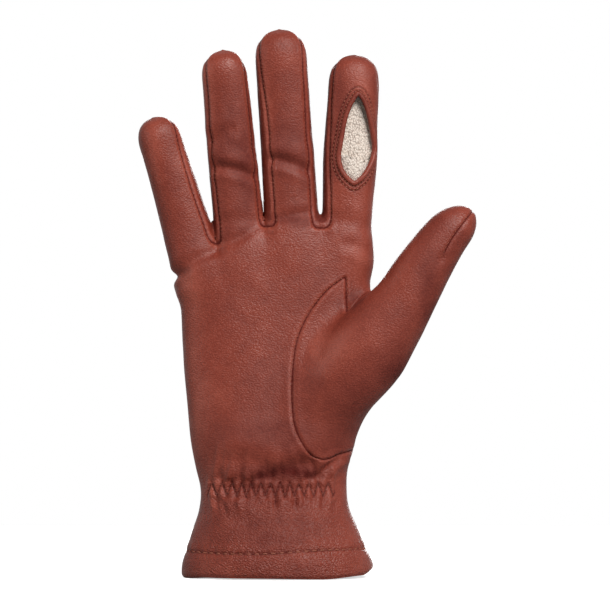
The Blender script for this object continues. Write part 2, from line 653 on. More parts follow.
def surface_nets(f, xs, ys, zs, level=0.0):
    """Vertices and quads of f's level surface on a grid of lines."""
    shape = (len(xs), len(ys), len(zs))
    values = np.empty(shape)
    plane = np.array(np.meshgrid(xs, ys, indexing="ij")).reshape(2, -1).T
    chunk = max(1, 400000 // len(plane))
    for k in range(0, shape[2], chunk):
        z = zs[k:k + chunk]
        p = np.concatenate([np.repeat(plane, len(z), axis=0), np.tile(z, len(plane))[:, None]], axis=1)
        values[:, :, k:k + chunk] = f(p).reshape(shape[0], shape[1], len(z)) - level
    inside = values < 0
    n = np.array(shape) - 1
    corners = [(i, j, k) for i in (0, 1) for j in (0, 1) for k in (0, 1)]

    def corner(a, c):
        return a[c[0]:c[0] + n[0], c[1]:c[1] + n[1], c[2]:c[2] + n[2]]

    count = sum(corner(inside, c).astype(np.int8) for c in corners)
    mixed = (count > 0) & (count < 8)
    cell = np.argwhere(mixed)
    index = np.full(n, -1)
    index[mixed] = np.arange(len(cell))
    lines = (xs, ys, zs)
    total = np.zeros((len(cell), 3))
    hits = np.zeros(len(cell))
    for a in corners:
        for axis in range(3):
            if a[axis]:
                continue
            b = tuple(1 if k == axis else a[k] for k in range(3))
            ia, ib = cell + a, cell + b
            fa, fb = values[tuple(ia.T)], values[tuple(ib.T)]
            hit = (fa < 0) != (fb < 0)
            t = np.where(hit, fa / np.where(hit, fa - fb, 1), 0)
            point = np.stack([lines[k][ia[:, k]] for k in range(3)], axis=1)
            point[:, axis] += t * (lines[axis][ib[:, axis]] - lines[axis][ia[:, axis]])
            total += np.where(hit[:, None], point, 0)
            hits += hit
    vertices = total / hits[:, None]
    quads = []
    for axis in range(3):
        low = [slice(None)] * 3
        high = [slice(None)] * 3
        low[axis], high[axis] = slice(0, -1), slice(1, None)
        change = inside[tuple(low)] != inside[tuple(high)]
        b, c = (axis + 1) % 3, (axis + 2) % 3
        at = np.argwhere(change)
        at = at[(at[:, b] > 0) & (at[:, c] > 0) & (at[:, b] < n[b]) & (at[:, c] < n[c])]
        step_b, step_c = np.eye(3, dtype=int)[b], np.eye(3, dtype=int)[c]
        ring = [index[tuple((at - x).T)] for x in (step_b + step_c, step_c, step_b * 0, step_b)]
        quad = np.stack(ring, axis=1)
        outward = inside[tuple(at.T)]
        quads.append(np.where(outward[:, None], quad, quad[:, ::-1]))
    quads = np.concatenate(quads)
    return vertices, quads[(quads >= 0).all(axis=1)]


def triangles_of(p, quads):
    """Splits each quad along its shorter diagonal."""
    one, other = (np.linalg.norm(p[quads[:, k]] - p[quads[:, k + 2]], axis=1) for k in (0, 1))
    d = one <= other
    a = np.where(d[:, None], quads[:, [0, 1, 2]], quads[:, [0, 1, 3]])
    b = np.where(d[:, None], quads[:, [0, 2, 3]], quads[:, [1, 2, 3]])
    return np.concatenate([a, b])


def relax(p, quads, f, level=0.0, rounds=4):
    """Evens out the vertices on the surface."""
    edges = np.concatenate([quads[:, [k, (k + 1) % 4]] for k in range(4)])
    for _ in range(rounds):
        total = np.zeros_like(p)
        count = np.zeros(len(p))
        for a, b in ((0, 1), (1, 0)):
            np.add.at(total, edges[:, a], p[edges[:, b]])
            np.add.at(count, edges[:, a], 1)
        p = project(p + 0.6 * (total / np.maximum(count, 1)[:, None] - p), level, 1, f)
    return project(p, level, 2, f)


def vertex_normals(p, tris):
    n = np.cross(p[tris[:, 1]] - p[tris[:, 0]], p[tris[:, 2]] - p[tris[:, 0]])
    total = np.zeros_like(p)
    for k in range(3):
        np.add.at(total, tris[:, k], n)
    return total / np.maximum(np.linalg.norm(total, axis=1), 1e-12)[:, None]


def cut(p, tris, scalar, level=0.0, snap=0.2, near=None):
    """Splits the triangles along scalar = level, after pulling vertices that almost lie on it onto it."""
    g = scalar(p) - level
    close = np.abs(g) < snap
    if near is not None:
        close &= near(p)
    rows = np.flatnonzero(close)
    if len(rows):
        slope = gradient(scalar, p[rows])
        p = p.copy()
        size = np.maximum((slope * slope).sum(1), 0.2)
        p[rows] -= slope * (g[rows] / size)[:, None]
        p[rows] = project(p[rows], 0.0, 1)
        g[rows] = 0
    side = np.sign(g).astype(int)
    ta, tb = side[tris], side[np.roll(tris, -1, axis=1)]
    crosses = (ta * tb) < 0
    if near is not None:
        crosses &= near(p[tris].mean(axis=1))[:, None]
    touched = crosses.any(axis=1)
    rest = tris[~touched]
    work = tris[touched]
    if not len(work):
        return p, tris
    ends = np.sort(np.stack([work, np.roll(work, -1, axis=1)], axis=2), axis=2)
    hit = crosses[touched]
    keys = ends[hit]
    unique, inverse = np.unique(keys, axis=0, return_inverse=True)
    inverse = inverse.reshape(-1)
    ga, gb = g[unique[:, 0]], g[unique[:, 1]]
    t = (ga / (ga - gb))[:, None]
    added = p[unique[:, 0]] * (1 - t) + p[unique[:, 1]] * t
    middle = np.full(work.shape, -1)
    middle[hit] = len(p) + inverse
    new = []
    two = hit.sum(axis=1) == 2
    for lone in range(3):
        a, b, c = lone, (lone + 1) % 3, (lone + 2) % 3
        rows = np.flatnonzero(two & ~hit[:, b])
        w, m = work[rows], middle[rows]
        new += [np.stack([w[:, a], m[:, a], m[:, c]], 1), np.stack([m[:, a], w[:, b], w[:, c]], 1),
                np.stack([m[:, a], w[:, c], m[:, c]], 1)]
        rows = np.flatnonzero(~two & hit[:, a])
        w, m = work[rows], middle[rows]
        new += [np.stack([w[:, a], m[:, a], w[:, c]], 1), np.stack([m[:, a], w[:, b], w[:, c]], 1)]
    return np.concatenate([p, added]), np.concatenate([rest] + new)


# ---------------------------------------------------------------- pieces

MATERIALS = {}


def mesh_object(name, vertices, faces, material, normals=None, crease=None):
    """A mesh piece from vertices in millimetres. normals holds one normal for each corner of each face."""
    mesh = bpy.data.meshes.new(name)
    mesh.from_pydata((vertices * MM).tolist(), [], [list(map(int, f)) for f in faces])
    mesh.shade_smooth()
    if crease is not None:
        layer = mesh.attributes.new("crease", "FLOAT", "POINT")
        layer.data.foreach_set("value", crease.astype(np.float32))
    mesh.materials.append(MATERIALS[material])
    if normals is not None:
        mesh.normals_split_custom_set(normals.tolist())
    o = bpy.data.objects.new(name, mesh)
    bpy.context.scene.collection.objects.link(o)
    return o


def shell(name, p, n, tris, material, outer=0.0, inner=LEATHER, crease=None):
    """A closed shell between two depths below the surface. It keeps the whole surface's normals, so that
    neighbouring shells meet without a line."""
    used = np.unique(tris)
    number = np.full(len(p), -1)
    number[used] = np.arange(len(used))
    tris = number[tris]
    p, n = p[used], n[used]
    k = len(used)
    vertices = np.concatenate([p - n * outer, p - n * inner])
    edges = np.concatenate([tris[:, [0, 1]], tris[:, [1, 2]], tris[:, [2, 0]]])
    code = edges[:, 0] * k + edges[:, 1]
    back = edges[:, 1] * k + edges[:, 0]
    rim = edges[~np.isin(code, back)]
    quads = np.stack([rim[:, 1], rim[:, 0], rim[:, 0] + k, rim[:, 1] + k], axis=1)
    faces = tris.tolist() + (tris[:, ::-1] + k).tolist() + quads.tolist()
    corner, after, before = (vertices[quads[:, j]] for j in (0, 1, 3))
    side = np.cross(after - corner, before - corner)
    side /= np.maximum(np.linalg.norm(side, axis=1), 1e-9)[:, None]
    outside, inside = n[tris].reshape(-1, 3), -n[tris[:, ::-1]].reshape(-1, 3)
    corners = np.concatenate([outside, inside, np.repeat(side, 4, axis=0)])
    value = None if crease is None else np.tile(crease[used], 2)
    return mesh_object(name, vertices, faces, material, corners, value)


# ---------------------------------------------------------------- materials

def node(tree, kind, at=(0, 0), **values):
    n = tree.nodes.new(kind)
    n.location = at
    for key, value in values.items():
        if key in n.inputs:
            n.inputs[key].default_value = value
        else:
            setattr(n, key, value)
    return n


def material(name):
    m = bpy.data.materials.new(name)
    m.use_nodes = True
    tree = m.node_tree
    tree.nodes.clear()
    out = node(tree, "ShaderNodeOutputMaterial", (900, 0))
    shader = node(tree, "ShaderNodeBsdfPrincipled", (600, 0))
    tree.links.new(shader.outputs[0], out.inputs[0])
    coords = node(tree, "ShaderNodeTexCoord", (-1200, 0))
    return m, tree, shader, coords.outputs["Object"]


def scaled(tree, vector, scale, rotate=(0, 0, 0)):
    n = node(tree, "ShaderNodeMapping", (-1000, 0))
    n.inputs["Scale"].default_value = scale
    n.inputs["Rotation"].default_value = rotate
    tree.links.new(vector, n.inputs["Vector"])
    return n.outputs[0]


def noise_node(tree, vector, scale, detail=2.0, roughness=0.5):
    n = node(tree, "ShaderNodeTexNoise", (-800, 0), Scale=scale, Detail=detail, Roughness=roughness)
    tree.links.new(vector, n.inputs["Vector"])
    return n.outputs["Fac"]


def math_node(tree, operation, a, b=0.0, clamp=False):
    n = node(tree, "ShaderNodeMath", (-400, 0), operation=operation, use_clamp=clamp)
    for k, value in enumerate((a, b)):
        if isinstance(value, (int, float)):
            n.inputs[k].default_value = value
        else:
            tree.links.new(value, n.inputs[k])
    return n.outputs[0]


def map_range(tree, value, a, b, c, d):
    n = node(tree, "ShaderNodeMapRange", (-400, 0))
    tree.links.new(value, n.inputs["Value"])
    for key, x in (("From Min", a), ("From Max", b), ("To Min", c), ("To Max", d)):
        n.inputs[key].default_value = x
    return n.outputs[0]


def colour_ramp(tree, value, stops):
    n = node(tree, "ShaderNodeValToRGB", (-200, 0))
    tree.links.new(value, n.inputs[0])
    for k, (position, colour) in enumerate(stops):
        element = n.color_ramp.elements[k] if k < 2 else n.color_ramp.elements.new(position)
        element.position = position
        element.color = (*colour, 1)
    return n.outputs[0]


def mix_colour(tree, factor, a, b, blend="MIX"):
    n = node(tree, "ShaderNodeMix", (0, 0), data_type="RGBA", blend_type=blend)
    for socket, value in ((n.inputs[0], factor), (n.inputs[6], a), (n.inputs[7], b)):
        if isinstance(value, (int, float)):
            socket.default_value = value
        elif isinstance(value, tuple):
            socket.default_value = (*value, 1)
        else:
            tree.links.new(value, socket)
    return n.outputs[2]


def bump(tree, height, strength, distance, normal=None):
    n = node(tree, "ShaderNodeBump", (300, -300), Strength=strength, Distance=distance)
    tree.links.new(height, n.inputs["Height"])
    if normal is not None:
        tree.links.new(normal, n.inputs["Normal"])
    return n.outputs[0]


LEATHER_MID = (0.224, 0.038, 0.0215)
LEATHER_DARK = (0.085, 0.004, 0.001)
LEATHER_LIGHT = (0.385, 0.092, 0.06)


def leather_material(name="leather"):
    """Fine-grained nappa: pebbles under half a millimetre, stretched across the hand, over soft mottling."""
    m, tree, shader, p = material(name)
    across = scaled(tree, p, (0.72, 0.72, 1.0))
    pebbles = node(tree, "ShaderNodeTexVoronoi", (-800, 200), Scale=1750.0, feature="SMOOTH_F1")
    tree.links.new(across, pebbles.inputs["Vector"])
    pebble = map_range(tree, pebbles.outputs["Distance"], 0.0, 0.7, 1.0, 0.0)
    wrinkle = noise_node(tree, scaled(tree, p, (0.65, 0.65, 1.1)), 2200, 3, 0.6)
    soft = noise_node(tree, p, 160, 3, 0.55)
    broad = noise_node(tree, p, 34, 3, 0.5)
    height = math_node(tree, "MULTIPLY", pebble, 0.8)
    height = math_node(tree, "ADD", height, math_node(tree, "MULTIPLY", wrinkle, 0.5))
    upright = node(tree, "ShaderNodeSeparateXYZ", (-1000, -300))
    tree.links.new(p, upright.inputs[0])
    coarser = map_range(tree, upright.outputs["Z"], 0.025, 0.055, 2.9, 1.0)
    height = math_node(tree, "MULTIPLY", height, coarser)
    normal = bump(tree, soft, 0.25, 0.0006)
    normal = bump(tree, height, 0.7, 0.00024, normal)
    tree.links.new(normal, shader.inputs["Normal"])
    crease = node(tree, "ShaderNodeAttribute", (-1000, 400), attribute_name="crease").outputs["Fac"]
    tone = map_range(tree, broad, 0.3, 0.7, -0.12, 0.12)
    tone = math_node(tree, "ADD", tone, map_range(tree, soft, 0.3, 0.7, -0.07, 0.07))
    tone = math_node(tree, "ADD", tone, map_range(tree, pebble, 0.2, 0.9, -0.1, 0.1))
    tone = math_node(tree, "SUBTRACT", tone, math_node(tree, "MULTIPLY", crease, 0.66))
    colour = colour_ramp(tree, math_node(tree, "ADD", tone, 0.5, True),
                         [(0.0, LEATHER_DARK), (1.0, LEATHER_LIGHT), (0.5, LEATHER_MID)])
    tree.links.new(colour, shader.inputs["Base Color"])
    rough = math_node(tree, "ADD", soft, math_node(tree, "MULTIPLY", wrinkle, 0.6))
    rough = map_range(tree, rough, 0.5, 1.1, 0.54, 0.42)
    rough = math_node(tree, "ADD", rough, map_range(tree, broad, 0.38, 0.62, 0.04, -0.06))
    rough = math_node(tree, "ADD", rough, map_range(tree, upright.outputs["Z"], 0.02, 0.045, -0.1, 0.0))
    creased = math_node(tree, "MULTIPLY", math_node(tree, "MAXIMUM", crease, 0.0), 0.6)
    rough = math_node(tree, "ADD", rough, creased, True)
    tree.links.new(rough, shader.inputs["Roughness"])
    shader.inputs["Specular IOR Level"].default_value = 0.42
    shader.inputs["Specular Tint"].default_value = (1.0, 0.93, 0.9, 1.0)
    return m


def thread_material(name, colour, light):
    m, tree, shader, p = material(name)
    twist = node(tree, "ShaderNodeTexWave", (-800, 0), Scale=900.0, Distortion=1.5, wave_type="BANDS",
                 bands_direction="DIAGONAL")
    tree.links.new(p, twist.inputs["Vector"])
    shade = colour_ramp(tree, twist.outputs["Fac"], [(0.0, colour), (1.0, light)])
    tree.links.new(shade, shader.inputs["Base Color"])
    tree.links.new(bump(tree, twist.outputs["Fac"], 0.5, 0.0001), shader.inputs["Normal"])
    shader.inputs["Roughness"].default_value = 0.6
    return m


def knit_material(name="lining"):
    """Cream brushed knit: small loops with grey gaps and a fuzz."""
    m, tree, shader, p = material(name)
    loops = node(tree, "ShaderNodeTexVoronoi", (-800, 0), Scale=1500.0, feature="F1")
    tree.links.new(scaled(tree, p, (1.0, 1.0, 0.7)), loops.inputs["Vector"])
    fuzz = noise_node(tree, p, 2600, 3, 0.7)
    gap = map_range(tree, loops.outputs["Distance"], 0.25, 0.8, 0.0, 1.0)
    stops = [(0.0, (0.88, 0.77, 0.68)), (1.0, (0.36, 0.26, 0.21)), (0.45, (0.74, 0.62, 0.53))]
    colour = colour_ramp(tree, gap, stops)
    colour = mix_colour(tree, map_range(tree, fuzz, 0.3, 0.7, 0.0, 0.45), colour, (0.88, 0.84, 0.76))
    tree.links.new(colour, shader.inputs["Base Color"])
    height = math_node(tree, "SUBTRACT", math_node(tree, "MULTIPLY", fuzz, 0.5), gap)
    tree.links.new(bump(tree, height, 0.8, 0.0004), shader.inputs["Normal"])
    shader.inputs["Roughness"].default_value = 0.9
    shader.inputs["Sheen Weight"].default_value = 0.4
    shader.inputs["Sheen Roughness"].default_value = 0.5
    return m


def elastic_material(name="elastic"):
    m, tree, shader, p = material(name)
    ribs = node(tree, "ShaderNodeTexWave", (-800, 0), Scale=700.0, wave_type="BANDS", bands_direction="Z")
    tree.links.new(p, ribs.inputs["Vector"])
    shade = colour_ramp(tree, ribs.outputs["Fac"], [(0.0, (0.5, 0.48, 0.45)), (1.0, (0.8, 0.79, 0.76))])
    tree.links.new(shade, shader.inputs["Base Color"])
    tree.links.new(bump(tree, ribs.outputs["Fac"], 0.6, 0.0002), shader.inputs["Normal"])
    shader.inputs["Roughness"].default_value = 0.85
    return m


# ---------------------------------------------------------------- the glove's leather

def level_cuts(p, tris):
    """Cuts the surface along every seam, with rows of vertices beside it that hold the seam's shape."""
    for i in range(3):
        near = lambda q, i=i: (np.abs(q[:, 0] - (FINGERS[i, 0] + FINGERS[i + 1, 0]) / 2) < 30) & (q[:, 2] > 140)
        for level in (-1.2, -0.45, 0.0, 0.45, 1.2):
            p, tris = cut(p, tris, lambda q, i=i: web(q, i), level, near=near)
        p, tris = cut(p, tris, lambda q, i=i: web_middle(q, i), near=lambda q, i=i: near(q) & (web(q, i) > -0.3))
    low_thumb = lambda q: (q[:, 0] > 2) & (q[:, 2] > 40) & (q[:, 2] < 145) & (q[:, 0] < 72)
    for level in (-1.1, -0.4, 0.0, 0.4, 1.1):
        p, tris = cut(p, tris, thumb_panel, level, near=low_thumb)
    on_thumb = lambda q: (q[:, 0] > 40) & (q[:, 2] > 100) & (thumb_field(q) < 1)
    for level in (-0.45, 0.0, 0.45):
        p, tris = cut(p, tris, thumb_dart, level, near=on_thumb)
    back = lambda q: (q[:, 1] > 0) & (q[:, 0] < -24)
    for level in (-0.45, 0.0, 0.45):
        p, tris = cut(p, tris, side_seam, level, near=back)
    for k in range(3):
        near = lambda q, k=k: (q[:, 1] > 6) & (back_point(q, k)[1] > 0) & (np.abs(back_point(q, k)[0]) < 4)
        for level in (-1.4, -0.7, 0.0, 0.7, 1.4):
            p, tris = cut(p, tris, lambda q, k=k: back_point(q, k)[0], level, near=near)
    for level in (-4.6, -SLIT_ROWS[1], -3.4, -2.9, -SLIT_ROWS[0], SLIT_HOLE):
        p, tris = cut(p, tris, slit, level, near=near_slit)
    for level in (-0.5, 0.0, 0.5):
        p, tris = cut(p, tris, lambda q: zigzag_distance(q[:, 0], q[:, 2])[0], level, near=on_zigzag)
    cuff = lambda q: q[:, 2] < 24
    for level in (-0.8, 0.0, 0.8):
        p, tris = cut(p, tris, lambda q: q[:, 2] - hem_height(q), level, near=cuff)
    p, tris = cut(p, tris, lambda q: q[:, 2] - hem_edge(q), near=cuff)
    for i in range(4):
        near = lambda q, i=i: near_finger(q, i)
        p, tris = cut(p, tris, lambda q, i=i: finger_frame(q, i)[0] - POSE_CUTS[i], near=near)
    return p, tris


SLIT_HOLE = -1.1        # the leather ends under the binding, this far outside the slit


def nearest_finger(p):
    return np.argmin(np.stack([finger_field(p, i) for i in range(4)]), axis=0)


def near_finger(q, i):
    """Round the base of finger i, where its piece starts."""
    return (np.abs(q[:, 0] - FINGERS[i, 0]) < 18) & (q[:, 2] > 140) & (nearest_finger(q) == i)


def regions(centres):
    """What each triangle belongs to, from its centre."""
    c = centres
    label = np.full(len(c), "palm", dtype="U24")
    finger = nearest_finger(c)
    for i, name in enumerate(FINGER_NAMES):
        label[(finger == i) & (finger_frame(c, i)[0] > POSE_CUTS[i]) & (finger_field(c, i) < 2)] = name
    for i in range(3):
        inside = web(c, i) > 0
        beyond = web_middle(c, i) > 0
        label[inside & ~beyond] = f"{FINGER_NAMES[i]}_inner"
        label[inside & beyond] = f"{FINGER_NAMES[i + 1]}_outer"
    label[thumb_panel(c) > 0] = "thumb"
    label[slit(c) > SLIT_HOLE] = "hole"
    label[c[:, 2] < hem_edge(c)] = "hole"
    return label


def bend(o, region):
    """Makes a piece follow the leather of its region."""
    if region == "palm":
        lean = math.radians(KNUCKLE[2])
    elif region == "thumb":
        lean = math.radians(THUMB_HINGE_LEAN)
    else:
        i = FINGER_NAMES.index(region)
        x, z, _, lean, _, joint = FINGERS[i]
        lean = math.radians(lean)
    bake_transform(o)
    return o


THUMB_HINGE_LEAN = 32.0


def skin(points, out=0.0):
    """The nearest points of the finished leather, moved outwards, and the directions outwards there."""
    q = project(points, 0.0, 4)
    n = gradient(field, q)
    n /= np.linalg.norm(n, axis=1)[:, None]
    return q + n * (relief(q) + out)[:, None], n


def on_front(x, z):
    """The points of the smooth palm side at these x and heights."""
    low, high = np.full(len(x), -40.0), np.zeros(len(x))
    for _ in range(18):
        middle = (low + high) / 2
        outside = field(np.stack([x, middle, z], axis=1)) > 0
        low, high = np.where(outside, middle, low), np.where(outside, high, middle)
    return np.stack([x, high, z], axis=1)


def along_line(points, scalar, level=0.0, pitch=1.0):
    """Evenly spaced points of the skin where scalar is level, starting from a rough line of points."""
    for _ in range(3):
        for _ in range(4):
            slope = gradient(scalar, points)
            off = (scalar(points) - level) / np.maximum((slope * slope).sum(1), 0.2)
            points = points - slope * np.clip(off, -1, 1)[:, None]
            points = project(points, 0.0, 1)
        length = np.linalg.norm(np.diff(points, axis=0), axis=1).sum()
        points = resample(points, max(3, int(length / pitch) + 1))
    return points


def capsules(name, a, b, n, radius, lift=0.1, sink=0.25, material="thread"):
    """Stitches from a to b: round threads that arch over the leather and dive into it at both ends."""
    rows, sides = 7, 7
    t = np.linspace(0, 1, rows)
    arch = 1 - (2 * t - 1) ** 4
    along = b - a
    length = np.linalg.norm(along, axis=1)
    along = along / length[:, None]
    across = np.cross(along, n)
    across /= np.linalg.norm(across, axis=1)[:, None]
    up = np.cross(across, along)
    thick = radius * np.sqrt(np.clip(1 - np.abs(2 * t - 1) ** 3, 0.02, 1))
    angle = np.arange(sides) * 2 * np.pi / sides
    centre = a[:, None] + (b - a)[:, None] * t[:, None] + up[:, None] * (arch * (lift + sink) - sink)[:, None]
    ring = across[:, None, None] * np.cos(angle)[:, None] + up[:, None, None] * np.sin(angle)[:, None]
    vertices = (centre[:, :, None] + ring * thick[:, None, None]).reshape(-1, 3)
    quad = []
    for r in range(rows - 1):
        for k in range(sides):
            here = r * sides + k
            turned = r * sides + (k + 1) % sides
            quad.append((here, here + sides, turned + sides, turned))
    ends = [tuple(range(sides)), tuple(range(rows * sides - 1, (rows - 1) * sides - 1, -1))]
    faces = []
    for m in range(len(a)):
        base = m * rows * sides
        faces += [tuple(v + base for v in f) for f in quad + ends]
    return mesh_object(name, vertices, faces, material)


def region_of(points):
    """Which bending region each point of the skin belongs to."""
    label = regions(points)
    return np.array([str(r).split("_")[0] for r in label])


def stitch_rows(name, rows, length, radius, replaces=(), lift=0.1, sink=0.25, material="thread", region=None):
    """Rows of stitches. Each row is a line of evenly spaced skin points, one for each stitch, and its direction."""
    a, b, n, where = [], [], [], []
    for points, turn in rows:
        direction = np.gradient(points, axis=0)
        direction /= np.linalg.norm(direction, axis=1)[:, None]
        normal = gradient(field, points)
        normal /= np.linalg.norm(normal, axis=1)[:, None]
        side = np.cross(normal, direction)
        direction = direction * math.cos(turn) + side * math.sin(turn)
        first, _ = skin(points - direction * length / 2)
        last, _ = skin(points + direction * length / 2)
        a.append(first)
        b.append(last)
        n.append(normal)
        where.append(region_of(points) if region is None else np.full(len(points), region))
    a, b, n, where = (np.concatenate(x) for x in (a, b, n, where))
    made = []
    for r in sorted(set(where.tolist())):
        if r == "hole":
            continue
        m = where == r
        o = capsules(f"{name}_{r}", a[m], b[m], n[m], radius, lift, sink, material)
        made.append(bend(o, r))
    if replaces:
        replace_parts(made[0], *replaces)
    return made


# ---------------------------------------------------------------- building

def build_leather():
    coarse = 1.0
    xs = axis_steps(-70, 95, coarse)
    ys = axis_steps(-40, 36, 1.1 * coarse)
    zs = axis_steps(-3, 246, 1.1 * coarse, (26, 52, 0.8 * coarse))
    p, quads = surface_nets(field, xs, ys, zs)
    p = relax(p, quads, field)
    tris = triangles_of(p, quads)
    p, tris = level_cuts(p, tris)
    n = gradient(field, p)
    n /= np.linalg.norm(n, axis=1)[:, None]
    height = relief(p)
    moved = p + n * height[:, None]
    normals = vertex_normals(moved, tris)
    label = regions(p[tris].mean(axis=1))
    crease = seam_lines(p) - seam_ridges(p) + patches(p) + 0.9 * np.maximum(-gathers(p) - 0.05, 0)
    palm_nodes = ("palm_front", "palm_back", "palm_crease", "finger_row_front", "finger_row_back")
    pieces = {"palm": ("leather_palm", palm_nodes),
              "thumb": ("leather_thumb", ("thumb_base", "thumb_upper", "thumb_crease"))}
    for name in FINGER_NAMES:
        pieces[name] = (f"leather_{name}", (f"{name}_upper", f"{name}_crease"))
    for i in range(3):
        for name in (f"{FINGER_NAMES[i]}_inner", f"{FINGER_NAMES[i + 1]}_outer"):
            pieces[name] = (f"leather_{name}_fourchette", (f"{name}_fourchette",))
    for region, (name, nodes) in pieces.items():
        o = shell(name, moved, normals, tris[label == region], "leather", crease=crease)
        bend(o, region.split("_")[0])
        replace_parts(o, *nodes)
    centres = p[tris].mean(axis=1)
    kept = label != "hole"
    fold = kept & (centres[:, 2] < HEM - 0.6)
    o = shell("leather_hem_fold", moved, normals, tris[fold], "leather", LEATHER + 0.05, LEATHER + 0.8, crease)
    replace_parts(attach(o, "palm"), "hem_fold")
    tape = kept & (np.abs(centres[:, 2] - ELASTIC_Z) < 3.2) & (centres[:, 1] < -8)
    o = shell("elastic_tape", moved, normals, tris[tape], "elastic", LEATHER + 0.05, LEATHER + 0.35)
    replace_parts(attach(o, "palm"), "wrist_elastic")


def build_lining():
    coarse = 2.2
    level = -(LEATHER + LINING_GAP)
    xs = axis_steps(-70, 95, coarse)
    ys = axis_steps(-40, 36, coarse)
    zs = axis_steps(6, 246, coarse)
    p, quads = surface_nets(field, xs, ys, zs, level)
    p = relax(p, quads, field, level, 3)
    tris = triangles_of(p, quads)
    for i in range(4):
        near = lambda q, i=i: near_finger(q, i)
        p, tris = cut(p, tris, lambda q, i=i: finger_frame(q, i)[0] - POSE_CUTS[i], near=near)
    p, tris = cut(p, tris, lambda q: q[:, 2] - HEM)
    on_thumb = lambda q: (q[:, 0] > 30) & (thumb_field(q) < palm_field(q))
    p, tris = cut(p, tris, lambda q: thumb_frame(q)[0] - THUMB_LINING_CUT, near=on_thumb)
    for level in (-0.6, 0.6):
        p, tris = cut(p, tris, lambda q: torn_edge(q), level, near=near_slit)
    g = gradient(field, p)
    g /= np.linalg.norm(g, axis=1)[:, None]
    deeper = 0.9 * np.exp(-((p[:, 2] - HEM - 1) / 4) ** 2) + 1.8 * np.exp(-((p[:, 2] - ELASTIC_Z - 1) / 7) ** 2)
    moved = p + g * (np.clip(relief(p), -1.3, 0.2) - deeper)[:, None]
    inside = np.clip(slit(p) + 0.6, 0, 2.0)
    moved += g * (0.75 * inside)[:, None]
    # behind the slit the back of the lining lies close under its front, as in an empty glove
    s, u, v = finger_frame(p, 3)
    a, b = finger_size(s, 3)
    front = -b * np.clip(1 - np.abs(u / a) ** 2.4, 0, 1) ** (1 / 2.4)
    pressed = np.minimum(0, front + LINING_SAG - v) * ramp(s, 4, 14) * (1 - ramp(s, 54, 64))
    moved[:, 1] += pressed * (np.abs(u) < 14) * (nearest_finger(p) == 3)
    normals = vertex_normals(moved, tris)
    c = p[tris].mean(axis=1)
    label = np.full(len(c), "palm", dtype="U12")
    finger = nearest_finger(c)
    for i, name in enumerate(FINGER_NAMES):
        label[(finger == i) & (finger_frame(c, i)[0] > POSE_CUTS[i]) & (finger_field(c, i) < 2)] = name
    label[(thumb_frame(c)[0] > THUMB_LINING_CUT) & on_thumb(c)] = "thumb"
    label[torn_edge(c) > 0] = "hole"
    label[c[:, 2] < HEM] = "hole"
    for region in ("palm", "thumb") + FINGER_NAMES:
        o = shell(f"knit_{region}", moved, normals, tris[label == region], "knit", 0.0, LINING)
        bend(o, region)
        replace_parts(o, f"{region}_lining")


THUMB_LINING_CUT = 16.0
LINING_SAG = 5.2        # how deep under the index finger's front the back of its lining lies


def torn_edge(p):
    """Positive where the lining is gone: inside the slit, above its slanted lower edge."""
    s, u, _ = finger_frame(p, 3)
    edge = LINING_EDGE[0] - LINING_EDGE[1] * (u + 3.7) + 0.5 * noise(p, 1.6, 21)
    return smooth_min(slit(p, 1.6), s - edge, 0.6)


def build_binding():
    """The rolled strip of leather round the slit."""
    count = 220
    section = [(0.35, -1.45), (0.02, -0.8), (-0.08, -0.1), (0.1, 0.55), (0.55, 0.95), (1.1, 1.0), (1.65, 0.78),
               (2.05, 0.3), (2.2, -0.25), (2.0, -0.9), (1.2, -1.5)]
    base = slit_outline(0.0, count)
    step = np.roll(base, -1, axis=0) - np.roll(base, 1, axis=0)
    out = -np.stack([-step[:, 1], step[:, 0]], axis=1)
    for _ in range(3):
        out = (np.roll(out, 1, axis=0) + out + np.roll(out, -1, axis=0)) / 3
    out /= np.linalg.norm(out, axis=1)[:, None]
    rings = []
    for d, h in section:
        q = base + out * d
        at = index_point(q[:, 0], q[:, 1])
        n = gradient(field, at)
        n /= np.linalg.norm(n, axis=1)[:, None]
        rings.append(at + n * (relief_near_slit(at) + h)[:, None])
    rings = np.stack(rings, axis=1)
    sides = len(section)
    vertices = rings.reshape(-1, 3)
    faces = []
    for k in range(count):
        for j in range(sides):
            a, b = k * sides + j, k * sides + (j + 1) % sides
            c, d = (k + 1) % count * sides + (j + 1) % sides, (k + 1) % count * sides + j
            faces.append((a, b, c, d))
    o = mesh_object("leather_slit_binding", vertices, faces, "leather")
    bend(o, "index")
    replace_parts(o, "slit_binding")


